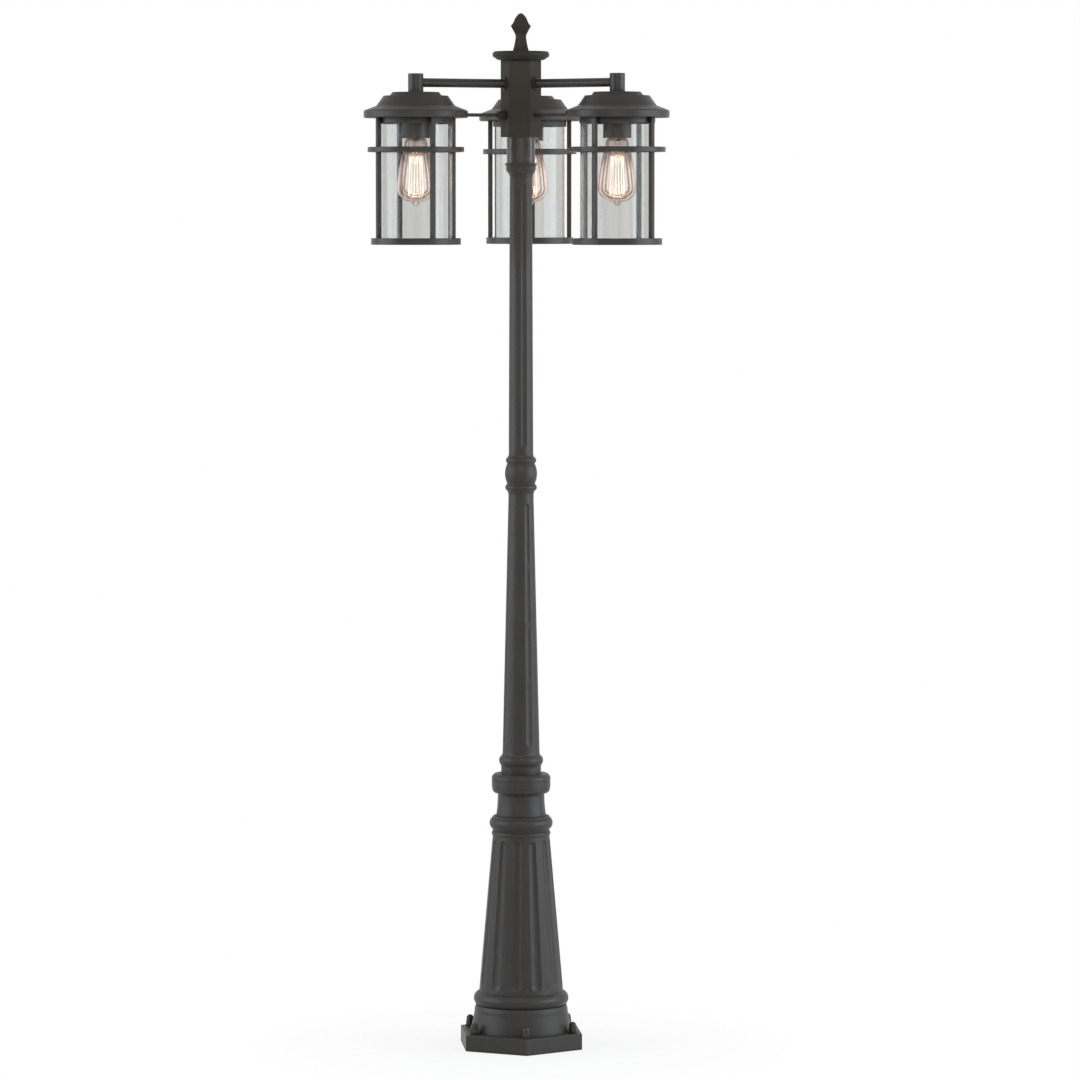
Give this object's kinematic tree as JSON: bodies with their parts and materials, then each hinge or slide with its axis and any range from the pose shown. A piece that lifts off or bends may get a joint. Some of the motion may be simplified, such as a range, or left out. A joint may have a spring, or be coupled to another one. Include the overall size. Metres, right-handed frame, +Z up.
{
  "type": "triple head lamp post",
  "caption": "Dark garden lamp post: fluted tapering column on a hexagonal bolt-down foot, with caged glass lanterns on level arms around a hexagonal hub and spear finial.",
  "frame": {"origin": "on the post's axis, in the plane that the foot stands on, at the centre of the anchor hole circle", "axes": "+Z up along the post; -Y is the side with a lantern at each side and the third behind; the arms leave the hub at 90, 210 and 330 degrees from +X"},
  "size_m": [0.5136, 0.4682, 1.761],
  "materials": {
    "cast_dark_coat": "satin",
    "metal_dark_coat": "satin",
    "spun_dark_coat": "satin",
    "plain_steel": "satin",
    "plain_brass": "satin",
    "moulded_holder": "matte",
    "cable_sheath": "matte",
    "splice_shell": "gloss",
    "lantern_glass": "gloss",
    "bulb_glass": "gloss",
    "bulb_cap_metal": "satin",
    "filament_wire": "satin",
    "bulb_insulator": "gloss"
  },
  "bodies": {
    "post": {"base_foot": "cast_dark_coat", "base_column": "cast_dark_coat", "neck_collar": "cast_dark_coat", "lower_pole": "cast_dark_coat", "middle_coupler": "cast_dark_coat", "upper_pole": "cast_dark_coat", "pole_cup": "cast_dark_coat", "fitter_sleeve": "metal_dark_coat", "hub_body": "cast_dark_coat", "centre_tube": "plain_steel", "centre_tube_nuts": "plain_steel", "cap_crossbar": "plain_steel", "crossbar_screws": "plain_steel", "hub_cap": "cast_dark_coat", "anchor_washers": "metal_dark_coat", "anchor_nuts": "metal_dark_coat", "arm_tubes": "metal_dark_coat", "arm_flanges": "metal_dark_coat", "arm_locknuts": "plain_steel", "arm_couplers": "metal_dark_coat", "steady_rods": "metal_dark_coat", "rod_ferrule": "metal_dark_coat", "stem_nipples": "plain_steel", "stem_nuts": "plain_steel", "socket_cups": "metal_dark_coat", "gallery_pans": "spun_dark_coat", "lampholders": "moulded_holder", "screw_shells": "plain_brass", "supply_cable": "cable_sheath", "arm_leads": "cable_sheath", "wire_connectors": "splice_shell", "left_hood": "spun_dark_coat", "left_glass": "lantern_glass", "left_cage_bars": "metal_dark_coat", "left_middle_ring": "metal_dark_coat", "left_bottom_ring": "metal_dark_coat", "right_hood": "spun_dark_coat", "right_glass": "lantern_glass", "right_cage_bars": "metal_dark_coat", "right_middle_ring": "metal_dark_coat", "right_bottom_ring": "metal_dark_coat", "rear_hood": "spun_dark_coat", "rear_glass": "lantern_glass", "rear_cage_bars": "metal_dark_coat", "rear_middle_ring": "metal_dark_coat", "rear_bottom_ring": "metal_dark_coat"},
    "finial_bush": {"finial_bush": "plain_brass"},
    "finial": {"finial": "cast_dark_coat"},
    "left_bulb_contact": {"left_bulb_contact": "bulb_insulator"},
    "left_bulb": {"left_bulb_glass": "bulb_glass", "left_bulb_cap": "bulb_cap_metal", "left_bulb_filament": "filament_wire"},
    "right_bulb_contact": {"right_bulb_contact": "bulb_insulator"},
    "right_bulb": {"right_bulb_glass": "bulb_glass", "right_bulb_cap": "bulb_cap_metal", "right_bulb_filament": "filament_wire"},
    "rear_bulb_contact": {"rear_bulb_contact": "bulb_insulator"},
    "rear_bulb": {"rear_bulb_glass": "bulb_glass", "rear_bulb_cap": "bulb_cap_metal", "rear_bulb_filament": "filament_wire"}
  },
  "joints": [
    {"name": "finial_lift", "type": "slide", "parent": "post", "child": "finial_bush", "axis": [0, 0, 1], "range_m": [0, 0.0101]},
    {"name": "finial_turn", "type": "hinge", "parent": "finial_bush", "child": "finial", "pos_m": [0, 0, 1.7], "axis": [0, 0, 1], "range_deg": [0, 2880]},
    {"name": "left_bulb_drop", "type": "slide", "parent": "post", "child": "left_bulb_contact", "axis": [0, 0, -1], "range_m": [0, 0.0182]},
    {"name": "left_bulb_turn", "type": "hinge", "parent": "left_bulb_contact", "child": "left_bulb", "pos_m": [-0.16931, -0.09775, 1.56], "axis": [0, 0, -1], "range_deg": [0, 1800]},
    {"name": "right_bulb_drop", "type": "slide", "parent": "post", "child": "right_bulb_contact", "axis": [0, 0, -1], "range_m": [0, 0.0182]},
    {"name": "right_bulb_turn", "type": "hinge", "parent": "right_bulb_contact", "child": "right_bulb", "pos_m": [0.16931, -0.09775, 1.56], "axis": [0, 0, -1], "range_deg": [0, 1800]},
    {"name": "rear_bulb_drop", "type": "slide", "parent": "post", "child": "rear_bulb_contact", "axis": [0, 0, -1], "range_m": [0, 0.0182]},
    {"name": "rear_bulb_turn", "type": "hinge", "parent": "rear_bulb_contact", "child": "rear_bulb", "pos_m": [0, 0.1955, 1.56], "axis": [0, 0, -1], "range_deg": [0, 1800]}
  ],
  "couplings": [
    {"joint": "finial_lift", "follows": "finial_turn", "m_per_rad": 0.00019894},
    {"joint": "left_bulb_drop", "follows": "left_bulb_turn", "m_per_rad": 0.00057773},
    {"joint": "right_bulb_drop", "follows": "right_bulb_turn", "m_per_rad": 0.00057773},
    {"joint": "rear_bulb_drop", "follows": "rear_bulb_turn", "m_per_rad": 0.00057773}
  ]
}
